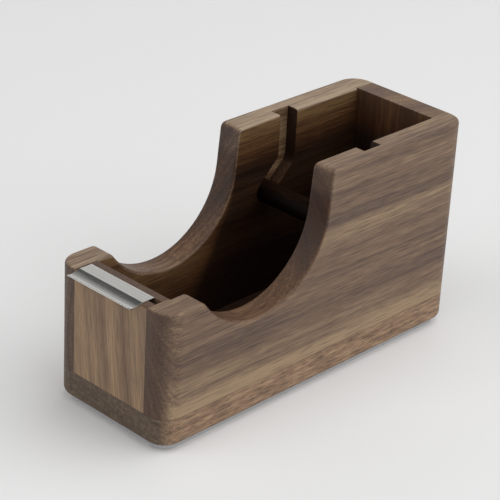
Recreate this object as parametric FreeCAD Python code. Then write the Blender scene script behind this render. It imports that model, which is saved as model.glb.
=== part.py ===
"""Desk tape dispenser for narrow tape: five glued walnut boards with a scooped front, a serrated steel
cutter, a loose spindle that drops into two routed slots, and a non-slip pad.

Millimetres. +Z is up, +Y runs from the cutter end to the back and +X is to the right of somebody
facing the back. The origin is on the desk, under the middle of the wooden body.
"""
import FreeCAD, Part
import math
import os

V = FreeCAD.Vector

# Driving dimensions: the wooden body
BODY_WIDTH = 50.0
BODY_LENGTH = 134.0
BODY_HEIGHT = 73.0
SIDE_THICKNESS = 8.9
BASE_THICKNESS = 9.8
FRONT_BLOCK_THICKNESS = 9.0
REAR_BOARD_THICKNESS = 8.4
CORNER_RADIUS = 7.0          # the four upright corners
UNDER_EDGE_RADIUS = 2.2      # lower edge of the base board
TOP_EASING = 1.0             # upper edges, outside and round the well

# Driving dimensions: the line of the sides' upper edge
FRONT_HEIGHT = 46.0          # low part at the cutter, above the body's underside
SCOOP_RADIUS = 28.5
SCOOP_CENTRE_FROM_FRONT = 39.4
SCOOP_CENTRE_HEIGHT = 61.5
SCOOP_LEAN = 5.0             # degrees that the scoop's upper edge leans back
HUMP_RADIUS = 3.0            # between the low front and the scoop
SHOULDER_RADIUS = 2.2        # between the scoop and the high back

# Driving dimensions: spindle slots, routed half way through each side
SLOT_WIDTH = 8.0
SLOT_DEPTH = 4.3
SLOT_FROM_FRONT = 92.0
ELBOW_HEIGHT = 56.6          # where the slot turns forward and down
SEAT_RUN = 9.2               # how far the seat is in front of the elbow, and below it
SPINDLE_RADIUS = 3.8
SPINDLE_END_GAP = 0.3
SPINDLE_CHAMFER = 0.6

# Driving dimensions: the cutter, bent from one strip
SHEET = 0.4
BLADE_LENGTH = 28.0
BLADE_SIDE_GAP = 1.2         # between the blade and the left side
TOOTH_COUNT = 24
TOOTH_DEPTH = 0.5
KERF_FROM_FRONT = 4.1
KERF_WIDTH = 2.3
KERF_DEPTH = 9.0
KERF_CHAMFER = 0.5
NOSE_FROM_FRONT = 0.6        # where the flat top ends and bends over the front edge
NOSE_RADIUS = 0.8            # bends are measured at the middle of the sheet
TROUGH_RADIUS = 2.4
TROUGH_FALL = 40.0           # degrees down into the trough
LIP_RISE = 18.0              # degrees up to the teeth
LIP_LENGTH = 2.2
HEEL_RADIUS = 0.8            # bend down into the kerf
TONGUE_DEPTH = 6.5           # bottom of the straight rear leg, below the block's top
TONGUE_RETURN = 3.0          # height of the springy front leg

# Driving dimensions: the pad
PAD_THICKNESS = 2.0
PAD_INSET = 2.4

# Worked-out places
HALF_WIDTH = BODY_WIDTH / 2
INNER_HALF = HALF_WIDTH - SIDE_THICKNESS
FRONT_Y = -BODY_LENGTH / 2
REAR_Y = BODY_LENGTH / 2
UNDERSIDE_Z = PAD_THICKNESS
BASE_TOP_Z = UNDERSIDE_Z + BASE_THICKNESS
FRONT_TOP_Z = UNDERSIDE_Z + FRONT_HEIGHT
TOP_Z = UNDERSIDE_Z + BODY_HEIGHT
WELL_FRONT_Y = FRONT_Y + FRONT_BLOCK_THICKNESS
WELL_REAR_Y = REAR_Y - REAR_BOARD_THICKNESS
SCOOP_Y = FRONT_Y + SCOOP_CENTRE_FROM_FRONT
SCOOP_Z = UNDERSIDE_Z + SCOOP_CENTRE_HEIGHT
SLOT_Y = FRONT_Y + SLOT_FROM_FRONT
ELBOW_Z = UNDERSIDE_Z + ELBOW_HEIGHT
SEAT_Y = SLOT_Y - SEAT_RUN
SEAT_Z = ELBOW_Z - SEAT_RUN
SLOT_FLOOR = INNER_HALF + SLOT_DEPTH
MARGIN = 5.0                 # how far a cutting tool stands out of what it cuts


def box(x0, x1, y0, y1, z0, z1):
    """A box between two corners."""
    return Part.makeBox(x1 - x0, y1 - y0, z1 - z0, V(x0, y0, z0))


def rounded_plate(half_x, half_y, radius, z0, z1):
    """An upright prism with a rounded-rectangle outline, centred on the origin."""
    plate = box(-half_x, half_x, -half_y, half_y, z0, z1)
    upright = [e for e in plate.Edges if abs(e.tangentAt(e.FirstParameter).z) > 0.5]
    return plate.makeFillet(radius, upright)


def side_outline():
    """The outline that both sides share, seen from the side, as a face in the plane X = 0."""
    drop = SCOOP_Z - FRONT_TOP_Z
    hump = V(0, SCOOP_Y - math.sqrt(SCOOP_RADIUS ** 2 - drop ** 2), FRONT_TOP_Z)
    lean = math.radians(SCOOP_LEAN)
    scoop_low = V(0, SCOOP_Y, SCOOP_Z - SCOOP_RADIUS)
    scoop_end = V(
        0,
        SCOOP_Y + SCOOP_RADIUS * math.cos(lean),
        SCOOP_Z - SCOOP_RADIUS * math.sin(lean),
    )
    shoulder = V(0, scoop_end.y + (TOP_Z - scoop_end.z) * math.tan(lean), TOP_Z)
    corners = [
        V(0, FRONT_Y, UNDERSIDE_Z),
        V(0, REAR_Y, UNDERSIDE_Z),
        V(0, REAR_Y, TOP_Z),
        shoulder,
        scoop_end,
    ]
    edges = [Part.makeLine(a, b) for a, b in zip(corners, corners[1:])]
    edges.append(Part.Arc(scoop_end, scoop_low, hump).toShape())
    edges.append(Part.makeLine(hump, V(0, FRONT_Y, FRONT_TOP_Z)))
    edges.append(Part.makeLine(V(0, FRONT_Y, FRONT_TOP_Z), corners[0]))
    return Part.Face(Part.Wire(edges)), hump, shoulder


def cross_edges(shape, y, z):
    """The edges that run across the body through one point of the side outline."""
    found = []
    for edge in shape.Edges:
        first, last = edge.Vertexes[0].Point, edge.Vertexes[-1].Point
        across = abs(first.x - last.x) > 1 and abs(first.y - last.y) < 0.01
        if across and abs(first.y - y) < 0.01 and abs(first.z - z) < 0.01:
            found.append(edge)
    return found


def on_upper_edge(edge):
    """Whether an edge belongs to the upper rim of the body: the outside rim or the well's rim."""
    middle = edge.valueAt((edge.FirstParameter + edge.LastParameter) / 2)
    ends = [v.Point for v in edge.Vertexes]
    points = ends + [middle]
    if min(p.z for p in points) < SCOOP_Z - SCOOP_RADIUS - 0.01:
        return False
    outside = not any(
        abs(p.x) < HALF_WIDTH - 0.01 and abs(p.y) < REAR_Y - CORNER_RADIUS - 0.01 for p in points
    )
    along_well = all(abs(abs(p.x) - INNER_HALF) < 0.01 for p in points)
    upright = abs(ends[0].z - ends[-1].z) > 1 and abs(ends[0].y - ends[-1].y) < 0.01
    return (outside or along_well) and not upright


def wooden_body():
    """The whole glued-up body as one solid, before it is divided into boards."""
    outline, hump, shoulder = side_outline()
    outline.translate(V(-HALF_WIDTH, 0, 0))
    body = outline.extrude(V(BODY_WIDTH, 0, 0))
    body = body.makeFillet(HUMP_RADIUS, cross_edges(body, hump.y, hump.z))
    body = body.makeFillet(SHOULDER_RADIUS, cross_edges(body, shoulder.y, shoulder.z))
    footprint = rounded_plate(HALF_WIDTH, REAR_Y, CORNER_RADIUS, UNDERSIDE_Z, TOP_Z)
    body = body.common(footprint)
    rim = [e for e in body.Edges if all(abs(v.Z - UNDERSIDE_Z) < 0.01 for v in e.Vertexes)]
    body = body.makeFillet(UNDER_EDGE_RADIUS, rim)
    return body


def well():
    """The hollow that the roll of tape hangs in."""
    return box(-INNER_HALF, INNER_HALF, WELL_FRONT_Y, WELL_REAR_Y, BASE_TOP_Z, TOP_Z + MARGIN)


def slot(side):
    """One spindle slot, as the tool that cuts it: side is -1 on the left and +1 on the right."""
    half = SLOT_WIDTH / 2
    inner = INNER_HALF - MARGIN
    depth = SLOT_FLOOR - inner
    upright = box(inner, SLOT_FLOOR, SLOT_Y - half, SLOT_Y + half, ELBOW_Z, TOP_Z + MARGIN)
    elbow = Part.makeCylinder(half, depth, V(inner, SLOT_Y, ELBOW_Z), V(1, 0, 0))
    seat = Part.makeCylinder(half, depth, V(inner, SEAT_Y, SEAT_Z), V(1, 0, 0))
    run = SEAT_RUN * math.sqrt(2)
    slope = box(inner, SLOT_FLOOR, -half, half, 0, run)
    slope.rotate(V(0, 0, 0), V(1, 0, 0), 135)
    slope.translate(V(0, SLOT_Y, ELBOW_Z))
    tool = upright.fuse([elbow, seat, slope])
    if side < 0:
        tool = tool.mirror(V(0, 0, 0), V(1, 0, 0))
    return tool


def kerf():
    """The cut across the front block that holds the blade's tongue, with its front edge chamfered."""
    front = FRONT_Y + KERF_FROM_FRONT
    cut = box(
        -INNER_HALF, INNER_HALF, front, front + KERF_WIDTH, FRONT_TOP_Z - KERF_DEPTH, FRONT_TOP_Z + MARGIN
    )
    corner = [
        V(-INNER_HALF, front - KERF_CHAMFER, FRONT_TOP_Z),
        V(-INNER_HALF, front, FRONT_TOP_Z - KERF_CHAMFER),
        V(-INNER_HALF, front + KERF_WIDTH / 2, FRONT_TOP_Z),
    ]
    wedge = Part.Face(Part.makePolygon(corner + corner[:1])).extrude(V(2 * INNER_HALF, 0, 0))
    return cut.fuse(wedge)


def boards():
    """The five boards, cut from the shaped body so that their outer faces run on without a step."""
    body = wooden_body().cut(well())
    body = body.makeFillet(TOP_EASING, [e for e in body.Edges if on_upper_edge(e)])
    body = body.cut([slot(-1), slot(1), kerf()])
    low, high = BASE_TOP_Z, TOP_Z + MARGIN
    wide, front, rear = HALF_WIDTH + MARGIN, FRONT_Y - MARGIN, REAR_Y + MARGIN
    regions = {
        "base_board": box(-wide, wide, front, rear, UNDERSIDE_Z - MARGIN, low),
        "left_side": box(-wide, -INNER_HALF, front, rear, low, high),
        "right_side": box(INNER_HALF, wide, front, rear, low, high),
        "front_block": box(-INNER_HALF, INNER_HALF, front, WELL_FRONT_Y, low, high),
        "rear_board": box(-INNER_HALF, INNER_HALF, WELL_REAR_Y, rear, low, high),
    }
    return {name: body.common(region) for name, region in regions.items()}


class Strip:
    """A bent strip seen from its end: a run of lines and arcs, thickened to both sides of its middle."""

    def __init__(self, y, z, heading):
        self.y, self.z, self.heading = y, z, math.radians(heading)
        self.near, self.far = [], []

    def _point(self, side):
        across = self.heading + math.pi / 2
        offset = side * SHEET / 2
        return V(0, self.y + offset * math.cos(across), self.z + offset * math.sin(across))

    def straight(self, length):
        """Runs on by a length."""
        starts = self._point(1), self._point(-1)
        self.y += length * math.cos(self.heading)
        self.z += length * math.sin(self.heading)
        self.near.append(Part.makeLine(starts[0], self._point(1)))
        self.far.append(Part.makeLine(starts[1], self._point(-1)))

    def bend(self, degrees, radius):
        """Turns by an angle, to the left of the heading when it is positive."""
        starts = self._point(1), self._point(-1)
        middles = None
        turn = math.radians(degrees) / 2
        side = 1 if degrees > 0 else -1
        for _ in range(2):
            towards = self.heading + side * math.pi / 2
            centre_y = self.y + radius * math.cos(towards)
            centre_z = self.z + radius * math.sin(towards)
            self.heading += turn
            away = self.heading - side * math.pi / 2
            self.y = centre_y + radius * math.cos(away)
            self.z = centre_z + radius * math.sin(away)
            if middles is None:
                middles = self._point(1), self._point(-1)
        self.near.append(Part.Arc(starts[0], middles[0], self._point(1)).toShape())
        self.far.append(Part.Arc(starts[1], middles[1], self._point(-1)).toShape())

    def face(self, x):
        """The closed outline of the strip at one place across the body."""
        first = Part.makeLine(self.far[0].Vertexes[0].Point, self.near[0].Vertexes[0].Point)
        last = Part.makeLine(self.near[-1].Vertexes[-1].Point, self.far[-1].Vertexes[-1].Point)
        edges = Part.sortEdges(self.near + [last] + self.far[::-1] + [first])[0]
        face = Part.Face(Part.Wire(edges))
        face.translate(V(x, 0, 0))
        return face


def cutter_blade():
    """The cutter: springy tongue in the kerf, flat top, trough in front of the body, toothed lip."""
    wall = FRONT_Y + KERF_FROM_FRONT
    leg_gap = KERF_WIDTH - SHEET
    strip = Strip(wall + SHEET / 2, FRONT_TOP_Z - TONGUE_DEPTH + TONGUE_RETURN, -90)
    strip.straight(TONGUE_RETURN)
    strip.bend(180, leg_gap / 2)
    strip.straight(TONGUE_DEPTH + SHEET / 2 - HEEL_RADIUS)
    strip.bend(90, HEEL_RADIUS)
    strip.straight(strip.y - FRONT_Y - NOSE_FROM_FRONT)
    strip.bend(TROUGH_FALL, NOSE_RADIUS)
    strip.bend(-(TROUGH_FALL + LIP_RISE), TROUGH_RADIUS)
    strip.straight(LIP_LENGTH)
    left = -INNER_HALF + BLADE_SIDE_GAP
    blade = strip.face(left).extrude(V(BLADE_LENGTH, 0, 0))
    return blade.cut(tooth_gaps(left, strip.y, strip.z))


def tooth_gaps(left, edge_y, edge_z):
    """The gaps between the teeth, as one comb that cuts through the lip."""
    pitch = BLADE_LENGTH / TOOTH_COUNT
    outside = edge_y - 1
    low = edge_z - 2
    points = [V(left - 1, outside, low), V(left - 1, edge_y - SHEET, low)]
    for tooth in range(TOOTH_COUNT):
        start = left + tooth * pitch
        points.append(V(start, edge_y - SHEET, low))
        points.append(V(start + pitch / 2, edge_y + TOOTH_DEPTH, low))
    points.append(V(left + BLADE_LENGTH, edge_y - SHEET, low))
    points.append(V(left + BLADE_LENGTH + 1, edge_y - SHEET, low))
    points.append(V(left + BLADE_LENGTH + 1, outside, low))
    return Part.Face(Part.makePolygon(points + points[:1])).extrude(V(0, 0, 4))


def tape_spindle():
    """The loose rod across the well, lying in the lower ends of the two slots."""
    half = SLOT_FLOOR - SPINDLE_END_GAP
    rod = Part.makeCylinder(SPINDLE_RADIUS, 2 * half, V(-half, SEAT_Y, SEAT_Z), V(1, 0, 0))
    rims = [e for e in rod.Edges if len(e.Vertexes) == 1]
    return rod.makeChamfer(SPINDLE_CHAMFER, rims)


def non_slip_pad():
    """The pad under the flat part of the base board."""
    half_x, half_y = HALF_WIDTH - PAD_INSET, REAR_Y - PAD_INSET
    return rounded_plate(half_x, half_y, CORNER_RADIUS - PAD_INSET, 0, PAD_THICKNESS)


def main():
    """Builds every piece and writes one file for each."""
    pieces = boards()
    pieces["cutter_blade"] = cutter_blade()
    pieces["tape_spindle"] = tape_spindle()
    pieces["non_slip_pad"] = non_slip_pad()
    os.makedirs("parts", exist_ok=True)
    for name, shape in pieces.items():
        solids = shape.Solids
        print(f"{name}: {len(solids)} solid, {shape.Volume:.0f} mm3, valid {shape.isValid()}")
        piece = solids[0] if len(solids) == 1 else shape
        piece.exportStep(f"parts/{name}.step")


main()
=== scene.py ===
"""A walnut desk tape dispenser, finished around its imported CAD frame.

The boards, the spindle and the pad keep their CAD shape and get their wood and rubber here. The
cutter is modelled again, as a bent steel strip with teeth, and stands in for the CAD one.
Everything is in metres in the frame's own axes: +Y runs to the back, +X to the right, +Z up.
"""
import math

import bmesh
import bpy
from bpy.props import FloatProperty, FloatVectorProperty, IntProperty, PointerProperty
from mathutils import Matrix, Vector


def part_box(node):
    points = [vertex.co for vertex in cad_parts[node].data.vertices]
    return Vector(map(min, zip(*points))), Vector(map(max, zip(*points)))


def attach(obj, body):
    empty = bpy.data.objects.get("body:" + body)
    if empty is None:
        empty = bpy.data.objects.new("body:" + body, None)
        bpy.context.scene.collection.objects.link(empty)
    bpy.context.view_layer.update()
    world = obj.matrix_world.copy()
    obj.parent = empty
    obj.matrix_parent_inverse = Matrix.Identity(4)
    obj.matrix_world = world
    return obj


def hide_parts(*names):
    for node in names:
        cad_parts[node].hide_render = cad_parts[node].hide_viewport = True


bl_info = {
    "name": "Walnut tape dispenser",
    "version": (1, 0, 0),
    "blender": (4, 5, 0),
    "location": "View3D > Sidebar > Dispenser",
    "description": "Finishes a desk tape dispenser: oiled walnut boards, steel cutter, spindle and pad",
    "category": "Object",
}

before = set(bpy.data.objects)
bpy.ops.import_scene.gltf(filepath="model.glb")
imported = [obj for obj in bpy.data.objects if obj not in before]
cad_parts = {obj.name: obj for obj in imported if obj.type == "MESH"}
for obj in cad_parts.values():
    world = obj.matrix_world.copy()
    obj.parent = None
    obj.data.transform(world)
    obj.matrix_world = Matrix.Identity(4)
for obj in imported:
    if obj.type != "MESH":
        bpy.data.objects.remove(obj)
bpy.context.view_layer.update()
MM = 0.001

# The scoop's axis and radius in millimetres, as the CAD has them
SCOOP_AXIS, SCOOP_RADIUS = (0, -27.6, 63.5), 28.5
# A box round both slots, in millimetres: its reach to each side, its front, its back and its foot
SLOT_REACH, SLOT_FRONT, SLOT_BACK, SLOT_FOOT = 20.5, 11.0, 29.5, 45.0
SKIN = 0.05       # how far the well's box reaches into the wood round it, to hold its walls
RIM = 0.3         # how far below the top the walls start to darken with painted shade
WELL_FADE = 27.0  # how far in from an opening the painted shade takes to reach its darkest
# A gain on red, green and blue, and not a colour: painted light, which makes the routed slots paler and
# cooler
SLOT_LIGHT_GAIN = (1.12, 1.3, 1.75, 1.0)


def colour(hex_code):
    """Turns an sRGB hex colour into linear red, green, blue and alpha."""
    parts = [int(hex_code[i:i + 2], 16) / 255 for i in (1, 3, 5)]
    linear = [p / 12.92 if p <= 0.04045 else ((p + 0.055) / 1.055) ** 2.4 for p in parts]
    return (*linear, 1.0)


def add(tree, kind, inputs=(), stops=(), **settings):
    """Adds a node with its settings, its colour stops, and a value or a link for each input."""
    node = tree.nodes.new(kind)
    for name, value in settings.items():
        setattr(node, name, value)
    for name, value in dict(inputs).items():
        if isinstance(value, bpy.types.NodeSocket):
            tree.links.new(value, node.inputs[name])
        else:
            node.inputs[name].default_value = value
    if stops:
        ramp = node.color_ramp.elements
        while len(ramp) < len(stops):
            ramp.new(1.0)
        for element, (position, shade) in zip(ramp, stops):
            element.position = position
            if isinstance(shade, str):
                shade = colour(shade)
            element.color = shade if isinstance(shade, tuple) else (shade, shade, shade, 1.0)
    return node


def new_material(name):
    """An empty material and its node tree."""
    material = bpy.data.materials.new(name)
    material.use_nodes = True
    material.node_tree.nodes.clear()
    return material, material.node_tree


def in_millimetres(tree):
    """The piece's own coordinates, in millimetres."""
    place = add(tree, "ShaderNodeTexCoord")
    return add(tree, "ShaderNodeVectorMath", {0: place.outputs["Object"], "Scale": 1 / MM},
               operation="SCALE").outputs[0]


def dress(node_name, material):
    """Gives a CAD node its material, in place of the plain one that it came with."""
    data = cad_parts[node_name].data
    data.materials.clear()
    data.materials.append(material)


# How a board's grain lies: the turn that brings it upright, in the wood's own axes
GRAIN_TURN = {
    "length": (math.radians(90), 0, 0),
    "height": (0, 0, 0),
    "width": (0, math.radians(-90), 0),
}
GRAIN_AXIS = {"length": (0, 1, 0), "height": (0, 0, 1), "width": (1, 0, 0)}


def streaks(tree, place, across, along, detail, roughness=0.5):
    """Noise drawn out along the grain: across and along are the streaks' sizes in millimetres."""
    drawn = add(tree, "ShaderNodeVectorMath", {0: place, 1: (1 / across, 1 / across, 1 / along)},
                operation="MULTIPLY")
    return add(tree, "ShaderNodeTexNoise",
               {"Vector": drawn.outputs[0], "Scale": 1.0, "Detail": detail, "Roughness": roughness})


def weighted(tree, parts):
    """Adds up shades about their middle, each with its weight, so that the sum stays about one half."""
    total = 0.5 - sum(weight for socket, weight in parts) / 2
    for socket, weight in parts:
        added = add(tree, "ShaderNodeMath", {0: socket, 1: weight, 2: total}, operation="MULTIPLY_ADD")
        total = added.outputs[0]
    return total


def in_box(tree, split, low, high):
    """One inside the box between two corners in millimetres, and nothing outside it."""
    inside = 1.0
    for axis in range(3):
        middle, half = (low[axis] + high[axis]) / 2, (high[axis] - low[axis]) / 2
        away = add(tree, "ShaderNodeMath", {0: split.outputs[axis], 1: middle}, operation="SUBTRACT")
        away = add(tree, "ShaderNodeMath", {0: away.outputs[0]}, operation="ABSOLUTE")
        within = add(tree, "ShaderNodeMath", {0: away.outputs[0], 1: half}, operation="LESS_THAN")
        both = add(tree, "ShaderNodeMath", {0: within.outputs[0], 1: inside}, operation="MULTIPLY")
        inside = both.outputs[0]
    return inside


def tinted_and_shaded(tree, shade, layers):
    """Multiplies a shade by each colour in turn, as far as it covers it: real tints and painted shade alike.
    """
    for cover, stain in layers:
        mixed = add(tree, "ShaderNodeMix", {"Factor": cover, "A": shade, "B": stain},
                    data_type="RGBA", blend_type="MULTIPLY")
        shade = mixed.outputs[2]
    return shade


def painted_scoop_shade(tree, split, offset):
    """How much painted shade a point takes: on the scoop's own surface only, and most where it is steep."""
    reach = add(tree, "ShaderNodeVectorMath", {0: offset}, operation="LENGTH").outputs["Value"]
    surface = add(tree, "ShaderNodeMapRange",
                  {"Value": reach, "From Min": SCOOP_RADIUS + 0.9, "From Max": SCOOP_RADIUS + 0.3})
    steep = add(tree, "ShaderNodeMapRange",
                {"Value": split.outputs["Z"], "From Min": 36, "From Max": 60, "To Min": 0.75,
                 "To Max": 1.0})
    scoop_darkness = add(tree, "ShaderNodeMath", {0: surface.outputs[0], 1: steep.outputs[0]},
                  operation="MULTIPLY")
    return scoop_darkness.outputs[0]


def below_opening(tree, split, offset, top):
    """How deep in the well's shade a point is: how far below the opening's edge, and less near the front."""
    along = add(tree, "ShaderNodeSeparateXYZ", {0: offset}).outputs["Y"]

    # Under the scoop the edge is its arc, and behind the shoulder it is the boards' top
    drop = add(tree, "ShaderNodeMath", {0: along, 1: along}, operation="MULTIPLY")
    drop = add(tree, "ShaderNodeMath", {0: SCOOP_RADIUS ** 2, 1: drop.outputs[0]}, operation="SUBTRACT")
    drop = add(tree, "ShaderNodeMath", {0: drop.outputs[0], 1: 0.0}, operation="MAXIMUM")
    drop = add(tree, "ShaderNodeMath", {0: drop.outputs[0]}, operation="SQRT")
    shoulder = add(tree, "ShaderNodeMapRange",
                   {"Value": along, "From Min": SCOOP_RADIUS - 20, "From Max": SCOOP_RADIUS,
                    "To Min": SCOOP_AXIS[2], "To Max": top}, interpolation_type="SMOOTHSTEP")
    edge = add(tree, "ShaderNodeMath", {0: shoulder.outputs[0], 1: drop.outputs[0]},
               operation="SUBTRACT")
    depth = add(tree, "ShaderNodeMath", {0: edge.outputs[0], 1: split.outputs["Z"]},
                operation="SUBTRACT")

    # The wide scoop lets more light into the front of the well, whatever the depth
    near_front = add(tree, "ShaderNodeMapRange",
                     {"Value": along, "From Min": -16, "From Max": 22, "To Min": 0.15, "To Max": 1.0})
    depth = add(tree, "ShaderNodeMath", {0: depth.outputs[0], 1: near_front.outputs[0]},
                operation="MULTIPLY")
    return depth.outputs[0]


def painted_shade_and_light(tree, mm, split, normal, shade):
    """Paints shade on the scoop and down the well, paints light in the slots, and paints shadow on the
    slots' front-facing walls.
    """
    offset = add(tree, "ShaderNodeVectorMath", {0: mm, 1: SCOOP_AXIS}, operation="SUBTRACT")
    offset = add(tree, "ShaderNodeVectorMath", {0: offset.outputs[0], 1: (0, 1, 1)},
                 operation="MULTIPLY").outputs[0]

    # The walls of the well and the slots
    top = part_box("left_side")[1].z / MM
    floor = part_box("base_board")[1].z / MM - SKIN
    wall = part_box("front_block")[1].x / MM + SKIN
    front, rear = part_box("front_block")[1].y / MM - SKIN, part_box("rear_board")[0].y / MM + SKIN
    well = in_box(tree, split, (-wall, front, floor), (wall, rear, top - RIM))
    slots = in_box(tree, split, (-SLOT_REACH, SLOT_FRONT, SLOT_FOOT), (SLOT_REACH, SLOT_BACK, top - RIM))
    inside = add(tree, "ShaderNodeMath", {0: well, 1: slots}, operation="MAXIMUM")
    in_slot = add(tree, "ShaderNodeMath", {0: slots, 1: well}, operation="SUBTRACT", use_clamp=True)

    # Painted shade: they are darker the further down they are, but less so in a slot and where they face
    # upwards
    slowed = add(tree, "ShaderNodeMapRange", {"Value": in_slot.outputs[0], "To Min": 1.0, "To Max": 0.2})
    upward = add(tree, "ShaderNodeVectorMath", {0: normal, 1: (0, 0, 1)}, operation="DOT_PRODUCT")
    on_floor = add(tree, "ShaderNodeMapRange",
                   {"Value": upward.outputs["Value"], "To Min": 1.0, "To Max": 0.4})
    depth = below_opening(tree, split, offset, top)
    for factor in (slowed, on_floor):
        slower = add(tree, "ShaderNodeMath", {0: depth, 1: factor.outputs[0]}, operation="MULTIPLY")
        depth = slower.outputs[0]
    down = add(tree, "ShaderNodeMapRange", {"Value": depth, "From Min": 0.0, "From Max": WELL_FADE})
    depth_shade = add(tree, "ShaderNodeValToRGB", {"Fac": down.outputs[0]},
               stops=((0.0, "#f6e0b8"), (0.32, "#dcb78a"), (0.62, "#745a43"), (1.0, "#6b4f35")))

    # Painted shadow: the slots' walls that face the front are darker, as if in the shadow of their own edge
    toward_front = add(tree, "ShaderNodeVectorMath", {0: normal, 1: (0, -1, 0)}, operation="DOT_PRODUCT")
    slot_wall_shadow = add(tree, "ShaderNodeMath", {0: toward_front.outputs["Value"], 1: in_slot.outputs[0]},
                   operation="MULTIPLY", use_clamp=True)
    # Painted shade on the scoop and down the well, painted light in the slots, painted shadow on their
    # front-facing walls
    return tinted_and_shaded(tree, shade, ((painted_scoop_shade(tree, split, offset), colour("#cdb49d")),
                                 (inside.outputs[0], depth_shade.outputs["Color"]),
                                 (in_slot.outputs[0], SLOT_LIGHT_GAIN),
                                 (slot_wall_shadow.outputs[0], colour("#8a7466"))))


def growth_rings(tree, wood, ring, wander):
    """Rings round the heart, which wanders along the tree: the seasons' shade, and the years' shade."""
    sway = streaks(tree, wood, 45, 130, 1.5)
    centred = add(tree, "ShaderNodeVectorMath", {0: sway.outputs["Color"], 1: (0.5, 0.5, 0.5)},
                  operation="SUBTRACT")
    pushed = add(tree, "ShaderNodeVectorMath", {0: centred.outputs[0], 1: (wander * 2,) * 3, 2: wood},
                 operation="MULTIPLY_ADD")
    flat = add(tree, "ShaderNodeVectorMath", {0: pushed.outputs[0], 1: (1, 1, 0)}, operation="MULTIPLY")
    radius = add(tree, "ShaderNodeVectorMath", {0: flat.outputs[0]}, operation="LENGTH")
    years = add(tree, "ShaderNodeMath", {0: radius.outputs["Value"], 1: ring},
                operation="DIVIDE").outputs[0]
    uneven = add(tree, "ShaderNodeTexNoise", {"W": years, "Scale": 0.31, "Detail": 2.0},
                 noise_dimensions="1D")
    year = add(tree, "ShaderNodeMath", {0: uneven.outputs["Fac"], 1: 2.2, 2: years},
               operation="MULTIPLY_ADD")
    season = add(tree, "ShaderNodeMath", {0: year.outputs[0]}, operation="FRACT")
    early_wood = add(tree, "ShaderNodeValToRGB", {"Fac": season.outputs[0]},
                     stops=((0.0, 0.38), (0.08, 0.70), (0.55, 0.58), (0.90, 0.30), (1.0, 0.38)))
    zones = add(tree, "ShaderNodeTexNoise", {"W": years, "Scale": 0.20, "Detail": 4.0, "Roughness": 0.62},
                noise_dimensions="1D")
    return early_wood.outputs["Color"], zones.outputs["Fac"]


def broad_years(tree, mm, strand, bands, across, end_grain):
    """Broader light and dark years at their places across a face, with none on the end grain."""
    first, last = bands[0][0], bands[-1][0]
    ragged = 2.5  # how far the strands pull a year's edge about, in millimetres
    level = add(tree, "ShaderNodeVectorMath", {0: mm, 1: across}, operation="DOT_PRODUCT")
    level = add(tree, "ShaderNodeMath", {0: strand, 1: ragged, 2: level.outputs["Value"]},
                operation="MULTIPLY_ADD")
    level = add(tree, "ShaderNodeMapRange",
                {"Value": level.outputs[0], "From Min": first + ragged / 2, "From Max": last + ragged / 2})
    stops = tuple(((where - first) / (last - first), shade) for where, shade in bands)
    broad = add(tree, "ShaderNodeValToRGB", {"Fac": level.outputs[0]}, stops=stops)
    kept = add(tree, "ShaderNodeMix",
               {"Factor": end_grain, "A": broad.outputs["Color"], "B": (0.40, 0.40, 0.40, 1.0)},
               data_type="RGBA")
    return kept.outputs[2]


def open_pores(tree, wood, pores, pore_length, end_grain):
    """Where the vessels are cut open: dark lines along the grain, and small dots on the end grain.

    Real ones are 0.1 to 0.2 mm wide. They are drawn about twice as wide, as coarse as they need to show.
    """
    vessels = streaks(tree, wood, 0.34, pore_length, 1.0)
    shown = add(tree, "ShaderNodeMapRange",
                {"Value": end_grain, "To Min": pores, "To Max": pores * 0.35})
    pore = add(tree, "ShaderNodeMapRange",
               {"Value": vessels.outputs["Fac"], "From Min": 0.55, "From Max": 0.72, "To Min": 0.0,
                "To Max": shown.outputs[0]})
    return pore.outputs[0]


def glue_lines(tree, split, seams, shade):
    """A hair of shadow where two boards meet."""
    for axis, where in seams:
        away = add(tree, "ShaderNodeMath", {0: split.outputs[axis], 1: where}, operation="SUBTRACT")
        away = add(tree, "ShaderNodeMath", {0: away.outputs[0]}, operation="ABSOLUTE")
        near = add(tree, "ShaderNodeMapRange",
                   {"Value": away.outputs[0], "From Min": 0.05, "From Max": 0.30, "To Min": 0.35,
                    "To Max": 0.0})
        seamed = add(tree, "ShaderNodeMix",
                     {"Factor": near.outputs[0], "A": shade, "B": colour("#1c120d")}, data_type="RGBA")
        shade = seamed.outputs[2]
    return shade


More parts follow.
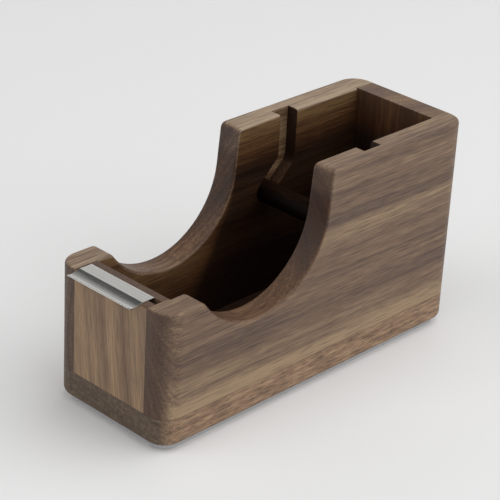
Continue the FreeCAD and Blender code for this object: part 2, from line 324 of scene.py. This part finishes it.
def walnut(name, grain, heart, ring, tones, bands=(), across=(0, 0, 1), lean=0.0, wander=5.0, bold=1.0,
           pores=0.6, pore_length=12.0, mottle=(14, 38, 0.35), end="#b2aaab", seams=(), shift=0.0,
           shine=0.35):
    """Black walnut, planed and oiled: growth rings cut as they fall, fibres, open pores, dark end grain.

    heart is the middle of the tree, in millimetres across the grain, ring is a year's growth in
    millimetres, tones run from the dark late wood to the light early wood, bands are broader light and
    dark years as (place in millimetres, shade) in the direction across, lean is how far the grain is off
    square, and wander is how far the heart sways. bold and pores are how much the rings and the pores
    show, pore_length is how long they are, mottle is the size and strength of its clouding, end tints
    the end grain, seams are glue lines as (axis number, place), shift slides the board along the tree,
    and shine is how much the oiled surface reflects.
    """
    material, tree = new_material(name)
    mm = in_millimetres(tree)
    normal = add(tree, "ShaderNodeTexCoord").outputs["Normal"]
    split = add(tree, "ShaderNodeSeparateXYZ", {0: mm})
    turn = Vector(GRAIN_TURN[grain]) + Vector((0, lean, 0))
    wood = add(tree, "ShaderNodeMapping",
               {"Vector": mm, "Rotation": turn, "Location": (-heart[0], -heart[1], shift)}).outputs[0]

    # One on end grain, nothing where the grain lies in the surface
    facing = add(tree, "ShaderNodeVectorMath", {0: normal, 1: GRAIN_AXIS[grain]}, operation="DOT_PRODUCT")
    turned = add(tree, "ShaderNodeMath", {0: facing.outputs["Value"]}, operation="ABSOLUTE")
    end_grain = add(tree, "ShaderNodeMapRange",
                    {"Value": turned.outputs[0], "From Min": 0.35, "From Max": 0.95},
                    interpolation_type="SMOOTHSTEP").outputs[0]

    # The fibres are drawn much wider than real ones, as coarse as they need to show
    seasons, zones = growth_rings(tree, wood, ring, wander)
    fibre = streaks(tree, wood, 0.34, 7, 3.0, 0.62).outputs["Fac"]
    strand = streaks(tree, wood, 0.9, 34, 4.0, 0.7).outputs["Fac"]
    cloud = streaks(tree, wood, mottle[0], mottle[1], 2.0).outputs["Fac"]
    parts = [(zones, 0.9 * bold), (seasons, 0.40 * bold), (strand, 1.05 * bold), (fibre, 0.90),
             (cloud, mottle[2])]
    if bands:
        parts.append((broad_years(tree, mm, strand, bands, across, end_grain), 0.8))
    tone = weighted(tree, parts)
    shade = add(tree, "ShaderNodeValToRGB", {"Fac": tone}, stops=tuple(zip((0.08, 0.52, 0.92), tones)))
    pore = open_pores(tree, wood, pores, pore_length, end_grain)
    pored = add(tree, "ShaderNodeMix",
                {"Factor": pore, "A": shade.outputs["Color"], "B": colour("#33241d")}, data_type="RGBA")

    # End grain drinks more oil, so it is darker and greyer
    result = tinted_and_shaded(tree, pored.outputs[2], ((end_grain, colour(end)),))
    result = glue_lines(tree, split, seams, result)
    # Painted shade in the well and on the scoop, and painted light in the slots
    result = painted_shade_and_light(tree, mm, split, normal, result)

    gloss = add(tree, "ShaderNodeMapRange",
                {"Value": tone, "From Min": 0.1, "From Max": 0.9, "To Min": 0.46, "To Max": 0.56})
    height = add(tree, "ShaderNodeMath", {0: pore, 1: -1.5, 2: fibre}, operation="MULTIPLY_ADD")
    bump = add(tree, "ShaderNodeBump",
               {"Height": height.outputs[0], "Strength": 0.5, "Distance": 0.05 * MM})
    surface = add(tree, "ShaderNodeBsdfPrincipled",
                  {"Base Color": result, "Roughness": gloss.outputs[0], "Normal": bump.outputs[0],
                   "Specular IOR Level": shine})
    add(tree, "ShaderNodeOutputMaterial", {"Surface": surface.outputs[0]})
    return material


def brushed_steel(name, steel):
    """Stainless steel strip, brushed along its length: fine long scratches that spread the light.

    Real scratches are a few hundredths of a millimetre wide. They are drawn 0.17 mm wide and 8 mm
    long, as coarse as they need to show.
    """
    material, tree = new_material(name)
    mm = in_millimetres(tree)
    drawn = add(tree, "ShaderNodeVectorMath", {0: mm, 1: (0.12, 6.0, 6.0)}, operation="MULTIPLY")
    brush = add(tree, "ShaderNodeTexNoise",
                {"Vector": drawn.outputs[0], "Scale": 1.0, "Detail": 4.0, "Roughness": 0.6}).outputs["Fac"]
    shade = add(tree, "ShaderNodeValToRGB", {"Fac": brush},
                stops=((0.3, (*(Vector(steel) * 0.84), 1.0)), (0.7, (*(Vector(steel) * 1.18), 1.0))))
    gloss = add(tree, "ShaderNodeMapRange",
                {"Value": brush, "From Min": 0.3, "From Max": 0.7, "To Min": 0.18, "To Max": 0.27})
    bump = add(tree, "ShaderNodeBump", {"Height": brush, "Strength": 0.25, "Distance": 0.02 * MM})
    surface = add(tree, "ShaderNodeBsdfPrincipled",
                  {"Base Color": shade.outputs["Color"], "Metallic": 1.0, "Roughness": gloss.outputs[0],
                   "Normal": bump.outputs[0]})
    add(tree, "ShaderNodeOutputMaterial", {"Surface": surface.outputs[0]})
    return material


def pad_rubber(name, rubber):
    """Soft grey rubber sheet with a fine matt skin, drawn in 0.4 mm grains so that it shows."""
    material, tree = new_material(name)
    mm = in_millimetres(tree)
    skin = add(tree, "ShaderNodeTexNoise", {"Vector": mm, "Scale": 2.5, "Detail": 4.0}).outputs["Fac"]
    shade = add(tree, "ShaderNodeValToRGB", {"Fac": skin},
                stops=((0.35, (*(Vector(rubber) * 0.92), 1.0)), (0.65, (*(Vector(rubber) * 1.08), 1.0))))
    bump = add(tree, "ShaderNodeBump", {"Height": skin, "Strength": 0.4, "Distance": 0.05 * MM})
    surface = add(tree, "ShaderNodeBsdfPrincipled",
                  {"Base Color": shade.outputs["Color"], "Roughness": 0.8, "Normal": bump.outputs[0]})
    add(tree, "ShaderNodeOutputMaterial", {"Surface": surface.outputs[0]})
    return material


def colour_prop(name, description, hex_code):
    """A colour that the user can change, with its default as an sRGB hex code."""
    return FloatVectorProperty(name=name, description=description, default=colour(hex_code)[:3],
                               subtype="COLOR", min=0.0, max=1.0)


class WoodSettings(bpy.types.PropertyGroup):
    """Colours of the oiled walnut, from late wood to early wood, and how its grain shows."""

    side_late: colour_prop("Sides, late wood", "Darkest streaks of the sides and the rear board", "#49372f")
    side_middle: colour_prop("Sides, middle", "Ground colour of the sides and the rear board", "#745d4a")
    side_early: colour_prop("Sides, early wood", "Lightest streaks of the sides and the rear board",
                            "#998165")
    sapwood: colour_prop("Sapwood", "Pale top edge of the left side", "#9d8971")
    base_late: colour_prop("Base, late wood", "Darkest streaks of the base board", "#503c2e")
    base_middle: colour_prop("Base, middle", "Ground colour of the base board", "#886c54")
    base_early: colour_prop("Base, early wood", "Lightest streaks of the base board", "#aa8e70")
    front_late: colour_prop("Front, late wood", "Darkest stripes of the front block", "#503c2f")
    front_middle: colour_prop("Front, middle", "Ground colour of the front block", "#7f664f")
    front_early: colour_prop("Front, early wood", "Lightest stripes of the front block", "#a6896a")
    spindle: colour_prop("Spindle", "Colour of the ebonised spindle", "#1b120e")
    pores: FloatProperty(name="Pores", description="How dark the open pores of the sides are", default=0.6,
                         min=0.0, max=1.0, subtype="FACTOR")


class CutterSettings(bpy.types.PropertyGroup):
    """Sizes and colour of the steel cutter."""

    teeth: IntProperty(name="Teeth", description="How many teeth the edge has", default=24, min=4, max=60)
    tooth_depth: FloatProperty(name="Tooth depth", description="From a tooth's tip to the gap beside it",
                               default=0.5 * MM, min=0.0, max=1.0 * MM, unit="LENGTH")
    sheet: FloatProperty(name="Sheet", description="Thickness of the steel strip", default=0.38 * MM,
                         min=0.1 * MM, max=0.4 * MM, unit="LENGTH")
    steel: colour_prop("Steel", "Colour of the brushed steel", "#cac9c5")


class PadSettings(bpy.types.PropertyGroup):
    """Colour of the pad."""

    rubber: colour_prop("Rubber", "Colour of the non-slip pad", "#adaeb0")


class StageSettings(bpy.types.PropertyGroup):
    """Camera, lights and floor."""

    azimuth: FloatProperty(name="Azimuth", description="Which way the camera looks, from +Y towards -X",
                           default=math.radians(43.17), subtype="ANGLE", unit="ROTATION")
    elevation: FloatProperty(name="Elevation", description="Height of the camera above the horizon",
                             default=math.radians(26.94), subtype="ANGLE", unit="ROTATION")
    roll: FloatProperty(name="Roll", description="Turn of the camera about its own line of sight",
                        default=math.radians(3.25), subtype="ANGLE", unit="ROTATION")
    distance: FloatProperty(name="Distance", description="From the camera to what it looks at",
                            default=0.601, unit="LENGTH")
    aim: FloatVectorProperty(name="Aim", description="The point that the camera looks at",
                             default=(0.0128, -0.0208, 0.0508), subtype="XYZ", unit="LENGTH")
    lens: FloatProperty(name="Lens", description="Focal length on a 36 mm sensor", default=140.4)
    key_power: FloatProperty(name="Key light", description="Power of the large softbox overhead",
                             default=22.0, unit="POWER")
    fill_power: FloatProperty(name="Fill light", description="Power of the softbox in front", default=6.0,
                              unit="POWER")
    floor_shade: colour_prop("Floor", "Colour of the card floor", "#e7e7e7")


def tones(wood, board):
    """A board's late, middle and early wood colours."""
    return [(*getattr(wood, board + "_" + part), 1.0) for part in ("late", "middle", "early")]


# Broader light and dark years as (place in millimetres, shade from 0 for dark to 1 for light).
# Up the right side's face, from the desk to the top:
RIGHT_YEARS = ((11, 0.95), (15.3, 1.0), (16.8, 0.60), (20, 0.52), (22, 0.66), (24, 0.54), (26, 0.34),
               (29, 0.30), (33, 0.28), (35, 0.46), (38, 0.36), (40, 0.50), (43, 0.56), (45, 0.32),
               (47, 0.42), (49, 0.54), (53, 0.80), (55.5, 0.48), (57, 0.30), (60, 0.39), (62, 0.30),
               (65, 0.45), (67, 0.27), (70, 0.43), (72, 0.34), (76, 0.52))
# Up the left side, which is cut from near the bark, so its top edge is paler:
LEFT_YEARS = ((10, 0.52), (44, 0.45), (48, 0.74), (55, 0.74), (58, 0.50), (74, 0.52), (74.6, 0.95),
              (76, 0.95))
# Across the front block, from left to right at the height FRONT_MIDDLE:
FRONT_YEARS = ((-19, 0.60), (-16, 0.68), (-12.5, 0.84), (-10, 0.56), (-7, 0.74), (-4.5, 0.52),
               (-2.5, 0.30), (-0.5, 0.60), (3, 0.66), (5, 0.40), (7.2, 0.20), (9, 0.48), (12, 0.60),
               (15, 0.46), (16, 0.34), (20, 0.5))
FRONT_MIDDLE = 30
FRONT_SLANT = 0.11  # how far its years are off upright, as a slope
# Through the rear board: painted shade, dark on its inner face, which faces into the well:
REAR_INNER_SHADE = ((55, 0.0), (59.5, 0.0), (60.5, 0.6), (70, 0.6))


class DISPENSER_OT_boards(bpy.types.Operator):
    """Dress the five boards in walnut, each cut from its own place in the tree"""

    bl_idname = "dispenser.boards"
    bl_label = "Walnut boards"

    def execute(self, context):
        wood = context.scene.dispenser_wood
        side_tones = tones(wood, "side")
        bark_tones = side_tones[:2] + [(*wood.sapwood, 1.0)]
        seam_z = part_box("base_board")[1].z / MM
        seam_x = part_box("front_block")[1].x / MM
        seams = ((2, seam_z), (0, -seam_x), (0, seam_x))
        dress("right_side", walnut(
            "black walnut right side", "length", (-45, 5), 1.5, side_tones, bands=RIGHT_YEARS,
            wander=3.0, bold=0.85, pores=wood.pores, seams=seams))
        dress("left_side", walnut(
            "black walnut left side", "length", (60, -20), 2.4, bark_tones, bands=LEFT_YEARS,
            wander=3.0, bold=1.2, pores=wood.pores, seams=seams, shift=210))
        dress("base_board", walnut(
            "black walnut base board", "length", (-12, 70), 3.8, tones(wood, "base"), bold=0.7,
            pores=0.75, pore_length=3.5, mottle=(1.5, 6, 1.0), end="#a6acb2", seams=seams[:1], shift=-95))
        years = [(x + FRONT_SLANT * FRONT_MIDDLE, shade) for x, shade in FRONT_YEARS]
        dress("front_block", walnut(
            "black walnut front block", "height", (-95, -30), 5.5, tones(wood, "front"), bands=years,
            across=(1, 0, FRONT_SLANT), lean=math.radians(6), wander=1.5, bold=0.5, pores=0.2,
            seams=seams, shift=60))
        dress("rear_board", walnut(
            "black walnut rear board", "height", (110, 20), 3.1, side_tones, bands=REAR_INNER_SHADE,
            across=(0, 1, 0), wander=3.0, pores=wood.pores, end="#f2eae2", seams=seams, shift=-70))
        return {"FINISHED"}


class DISPENSER_OT_spindle(bpy.types.Operator):
    """Dress the turned spindle in ebonised walnut"""

    bl_idname = "dispenser.spindle"
    bl_label = "Spindle"

    def execute(self, context):
        stain = Vector(context.scene.dispenser_wood.spindle)
        ebony = [(*(stain * strength), 1.0) for strength in (0.4, 1.0, 2.0)]
        dress("tape_spindle", walnut("ebonised walnut spindle", "width", (-40, 25), 2.6, ebony,
                                     wander=2.0, shine=0.06))
        return {"FINISHED"}


def edge_row(mesh, axis, where):
    """Selects the vertices of the mesh in edit mode that lie at one place along an axis."""
    for vertex in mesh.verts:
        vertex.select = abs(vertex.co[axis] - where) < 0.001 * MM
    mesh.select_flush(True)
    mesh.select_flush(False)


def extrude_along(steps):
    """Extrudes the selected edge through steps across and up, in millimetres."""
    for across, up in steps:
        bpy.ops.mesh.extrude_region_move(TRANSFORM_OT_translate={"value": (0, across * MM, up * MM)})


# The cutter's side view in millimetres. The flat top starts behind the block's front edge:
FLAT_START, FLAT_LENGTH = 1.15, 4.25
FLAT_RISE = 0.4  # how far its upper face is above the block's top
# From there over the front edge, down into the trough and up the lip, as steps across and up:
TROUGH_STEPS = ((-0.10, 0), (-0.05, -0.01), (-0.30, -0.12), (-0.45, -0.15), (-0.55, -0.15),
                (-0.55, -0.11), (-0.53, -0.08), (-0.55, -0.05), (-0.50, -0.03), (-0.45, -0.005))
LIP_STEPS = ((-0.25, 0.02), (-0.25, 0.09), (-0.35, 0.185), (-0.35, 0.205))
# From the flat's rear end down the kerf, and back up the springy leg that grips it:
TONGUE_STEPS = ((0.10, 0), (0.30, -0.05), (0.25, -0.20), (0.17, -0.30), (0.05, -0.35), (0, -6.30),
                (-0.10, -0.40), (-0.25, -0.28), (-0.65, -0.12), (-0.65, 0.12), (-0.25, 0.28),
                (-0.10, 0.40), (-0.05, 3.2))
# A tooth's gap runs down the slope of the lip: back and down, for a depth of one
GAP_BACK, GAP_DOWN = 0.91, -0.41
BURR = 0.04      # the broken edge of the sheet
BURR_ANGLE = 50  # edges sharper than this many degrees are broken
MERGE = 0.003    # points closer than this become one
CREASE = 18      # bends sharper than this many degrees stay crisp


def bent_strip(settings):
    """The cutter as a bent sheet with no thickness yet, from the teeth to the end of its tongue."""
    low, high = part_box("cutter_blade")
    block_low, block_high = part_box("front_block")
    top = block_high.z + FLAT_RISE * MM
    front = block_low.y + FLAT_START * MM
    rear = front + FLAT_LENGTH * MM
    bpy.ops.mesh.primitive_grid_add(x_subdivisions=settings.teeth * 2, y_subdivisions=1, size=1.0)
    piece = bpy.context.object
    piece.name = "toothed_cutter"
    bpy.ops.object.mode_set(mode="EDIT")
    bpy.ops.transform.resize(value=(high.x - low.x, rear - front, 1.0))
    bpy.ops.transform.translate(value=((low.x + high.x) / 2, (front + rear) / 2, top))
    mesh = bmesh.from_edit_mesh(piece.data)
    edge_row(mesh, 1, front)
    extrude_along(TROUGH_STEPS + LIP_STEPS)

    # The teeth: every other point of the edge steps back down the lip
    tips = sorted((v for v in mesh.verts if v.select), key=lambda v: v.co.x)
    bpy.ops.mesh.select_all(action="DESELECT")
    for vertex in tips[::2]:
        vertex.select = True
    mesh.select_flush(True)
    back, down = settings.tooth_depth * GAP_BACK, settings.tooth_depth * GAP_DOWN
    bpy.ops.transform.translate(value=(0, back, down))

    bpy.ops.mesh.select_all(action="SELECT")
    bpy.ops.mesh.normals_make_consistent(inside=False)
    bpy.ops.mesh.select_all(action="DESELECT")
    edge_row(mesh, 1, rear)
    extrude_along(TONGUE_STEPS)
    bpy.ops.object.mode_set(mode="OBJECT")
    return piece


def give_thickness(piece, thickness):
    """Gives the bent sheet its thickness below its upper face, and breaks its cut edges."""
    sheet = piece.modifiers.new("sheet", "SOLIDIFY")
    sheet.thickness = thickness
    sheet.offset = -1.0
    sheet.use_even_offset = True
    burr = piece.modifiers.new("burr", "BEVEL")
    burr.width = BURR * MM
    burr.segments = 1
    burr.limit_method = "ANGLE"
    burr.angle_limit = math.radians(BURR_ANGLE)
    for modifier in ("sheet", "burr"):
        bpy.ops.object.modifier_apply(modifier=modifier)
    bpy.ops.object.mode_set(mode="EDIT")
    bpy.ops.mesh.select_all(action="SELECT")
    bpy.ops.mesh.remove_doubles(threshold=MERGE * MM)
    bpy.ops.object.mode_set(mode="OBJECT")
    bpy.ops.object.shade_smooth_by_angle(angle=math.radians(CREASE))


class DISPENSER_OT_cutter(bpy.types.Operator):
    """Bend the toothed cutter from a strip of brushed steel"""

    bl_idname = "dispenser.cutter"
    bl_label = "Cutter"

    def execute(self, context):
        settings = context.scene.dispenser_cutter
        piece = bent_strip(settings)
        give_thickness(piece, settings.sheet)
        piece.data.materials.append(brushed_steel("brushed stainless steel", settings.steel))
        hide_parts("cutter_blade")
        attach(piece, "body")
        return {"FINISHED"}


class DISPENSER_OT_pad(bpy.types.Operator):
    """Dress the non-slip pad in grey rubber"""

    bl_idname = "dispenser.pad"
    bl_label = "Pad"

    def execute(self, context):
        dress("non_slip_pad", pad_rubber("grey rubber sheet", context.scene.dispenser_pad.rubber))
        return {"FINISHED"}


class DISPENSER_OT_stage(bpy.types.Operator):
    """Set up the floor, the studio light and the camera"""

    bl_idname = "dispenser.stage"
    bl_label = "Stage"

    def execute(self, context):
        settings = context.scene.dispenser_stage
        make_floor(settings)
        make_light(settings)
        make_camera(settings)
        return {"FINISHED"}


def make_floor(settings):
    """A wide floor of matt card under the pad: pale and plain, with a tooth that kills its shine.

    The tooth is drawn about a millimetre coarse, which is coarser than real card's, so that it shows.
    """
    bpy.ops.mesh.primitive_plane_add(size=6.0, location=(0, 0, 0))
    floor = bpy.context.object
    floor.name = "floor"
    material, tree = new_material("matt card")
    place = add(tree, "ShaderNodeTexCoord")
    tooth = add(tree, "ShaderNodeTexNoise",
                {"Vector": place.outputs["Object"], "Scale": 900.0, "Detail": 2.0})
    bump = add(tree, "ShaderNodeBump",
               {"Height": tooth.outputs["Fac"], "Strength": 0.1, "Distance": 0.05 * MM})
    surface = add(tree, "ShaderNodeBsdfPrincipled",
                  {"Base Color": (*settings.floor_shade, 1.0), "Roughness": 0.75,
                   "Normal": bump.outputs[0]})
    add(tree, "ShaderNodeOutputMaterial", {"Surface": surface.outputs[0]})
    floor.data.materials.append(material)


def make_light(settings):
    """A large softbox overhead, to the right and behind, in a pale room with a dark ceiling."""
    # Each softbox's name, place and width in metres, and power
    softboxes = (("key softbox", (0.58, 0.38, 1.32), 2.0, settings.key_power),
                 ("front softbox", (-0.40, -1.00, 1.30), 1.2, settings.fill_power))
    for name, place, size, power in softboxes:
        bpy.ops.object.light_add(type="AREA", location=place)
        softbox = bpy.context.object
        softbox.name = name
        softbox.data.shape = "SQUARE"
        softbox.data.size = size
        softbox.data.energy = power
        softbox.rotation_mode = "QUATERNION"
        softbox.rotation_quaternion = (Vector((0, 0, 0.03)) - softbox.location).to_track_quat("-Z", "Y")
    world = bpy.data.worlds.new("pale room")
    bpy.context.scene.world = world
    world.use_nodes = True
    tree = world.node_tree
    tree.nodes.clear()
    place = add(tree, "ShaderNodeTexCoord")
    split = add(tree, "ShaderNodeSeparateXYZ", {0: place.outputs["Generated"]})
    walls = add(tree, "ShaderNodeValToRGB", {"Fac": split.outputs["Z"]},
                stops=((0.0, 0.85), (0.45, 0.85), (0.68, 0.06), (1.0, 0.10)))
    shine = add(tree, "ShaderNodeBackground", {"Color": walls.outputs["Color"], "Strength": 1.0})
    add(tree, "ShaderNodeOutputWorld", {"Surface": shine.outputs[0]})
    bpy.context.scene.view_settings.view_transform = "Standard"


def make_camera(settings):
    """The camera, turned about its own line of sight."""
    azimuth, elevation = settings.azimuth, settings.elevation
    back = Vector((math.sin(azimuth) * math.cos(elevation), -math.cos(azimuth) * math.cos(elevation),
                   math.sin(elevation)))
    bpy.ops.object.camera_add(location=Vector(settings.aim) + back * settings.distance)
    camera = bpy.context.object
    camera.name = "camera"
    camera.data.lens = settings.lens
    camera.data.clip_start = 0.01
    camera.rotation_mode = "QUATERNION"
    level = (-back).to_track_quat("-Z", "Y")
    camera.rotation_quaternion = level @ Matrix.Rotation(settings.roll, 3, "Z").to_quaternion()
    bpy.context.scene.camera = camera


class DISPENSER_PT_panel(bpy.types.Panel):
    """Lists the dispenser's pieces and its stage"""

    bl_idname = "DISPENSER_PT_panel"
    bl_label = "Tape dispenser"
    bl_space_type = "VIEW_3D"
    bl_region_type = "UI"
    bl_category = "Dispenser"

    def draw(self, context):
        for operator in OPERATORS:
            self.layout.operator(operator.bl_idname)
        for place, group in SETTINGS.items():
            box = self.layout.box()
            for name in group.__annotations__:
                box.prop(getattr(context.scene, place), name)


OPERATORS = (DISPENSER_OT_boards, DISPENSER_OT_spindle, DISPENSER_OT_cutter, DISPENSER_OT_pad,
             DISPENSER_OT_stage)
SETTINGS = {"dispenser_wood": WoodSettings, "dispenser_cutter": CutterSettings,
            "dispenser_pad": PadSettings, "dispenser_stage": StageSettings}
CLASSES = (*SETTINGS.values(), *OPERATORS, DISPENSER_PT_panel)


def register():
    """Registers the classes and puts the settings on the scene."""
    for item in CLASSES:
        bpy.utils.register_class(item)
    for place, group in SETTINGS.items():
        setattr(bpy.types.Scene, place, PointerProperty(type=group))


def unregister():
    """Takes the settings off the scene and the classes away."""
    for place in SETTINGS:
        delattr(bpy.types.Scene, place)
    for item in reversed(CLASSES):
        bpy.utils.unregister_class(item)


def main():
    """Makes the pieces and the stage."""
    register()
    bpy.ops.object.select_all(action="DESELECT")
    bpy.ops.dispenser.boards()
    bpy.ops.dispenser.spindle()
    bpy.ops.dispenser.cutter()
    bpy.ops.dispenser.pad()
    bpy.ops.dispenser.stage()


if __name__ == "__main__":
    main()
